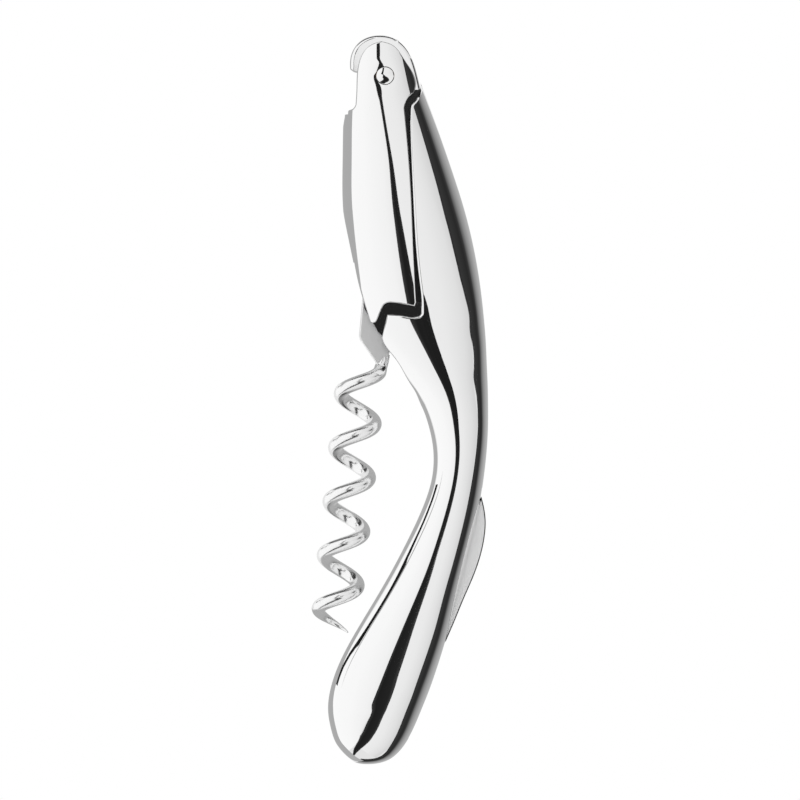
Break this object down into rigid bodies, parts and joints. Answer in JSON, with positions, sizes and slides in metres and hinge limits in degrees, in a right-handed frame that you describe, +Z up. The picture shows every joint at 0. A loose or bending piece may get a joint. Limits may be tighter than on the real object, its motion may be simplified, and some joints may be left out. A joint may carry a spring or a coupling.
{
  "type": "waiter's friend corkscrew",
  "caption": "Polished steel folding corkscrew with an S-curved handle, a boot lever with claw, a cap hook, a folding wire worm and a foil knife in its back.",
  "frame": {"origin": "centre of the bounding box in plan, on the surface that the folded tool lies on", "axes": "+Y along the tool from the round handle end to the cap hook, +X towards the handle's bowed back and the knife, +Z up through the tool's thickness, square to all three pivots"},
  "size_m": [0.0316, 0.13, 0.0143],
  "materials": {
    "mirror_polished_steel": "stainless steel, ground and buffed to a mirror",
    "fine_ground_blade_steel": "hardened blade steel, fine satin ground",
    "phosphor_bronze_washer": "rolled phosphor bronze, plain",
    "spring_steel": "tempered spring steel, bright rolled",
    "bright_pin_steel": "drawn pin steel, ends faced flush"
  },
  "bodies": {
    "handle": {"handle_body": "mirror_polished_steel", "lever_pivot_barrel": "mirror_polished_steel", "lever_pivot_screw": "mirror_polished_steel", "lever_washer_upper": "phosphor_bronze_washer", "lever_washer_lower": "phosphor_bronze_washer", "detent_ball": "spring_steel", "detent_spring": "spring_steel", "worm_pivot_pin": "bright_pin_steel", "worm_washer_upper": "phosphor_bronze_washer", "worm_washer_lower": "phosphor_bronze_washer", "worm_spring": "spring_steel", "worm_spring_pin": "bright_pin_steel", "knife_pivot_pin": "mirror_polished_steel", "knife_washer_upper": "phosphor_bronze_washer", "knife_washer_lower": "phosphor_bronze_washer", "knife_spring": "spring_steel", "knife_spring_pin": "mirror_polished_steel"},
    "lever": {"lever": "mirror_polished_steel"},
    "worm": {"worm": "mirror_polished_steel"},
    "knife": {"knife_blade": "fine_ground_blade_steel"}
  },
  "joints": [
    {"name": "lever_swing", "type": "hinge", "parent": "handle", "child": "lever", "pos_m": [-0.00265, 0.0576, 0.00715], "axis": [0, 0, -1], "range_deg": [0, 165]},
    {"name": "worm_swing", "type": "hinge", "parent": "handle", "child": "worm", "pos_m": [-0.00355, 0.01995, 0.00715], "axis": [0, 0, -1], "range_deg": [0, 90]},
    {"name": "knife_swing", "type": "hinge", "parent": "handle", "child": "knife", "pos_m": [0.00415, -0.04435, 0.00715], "axis": [0, 0, -1], "range_deg": [0, 150]}
  ]
}
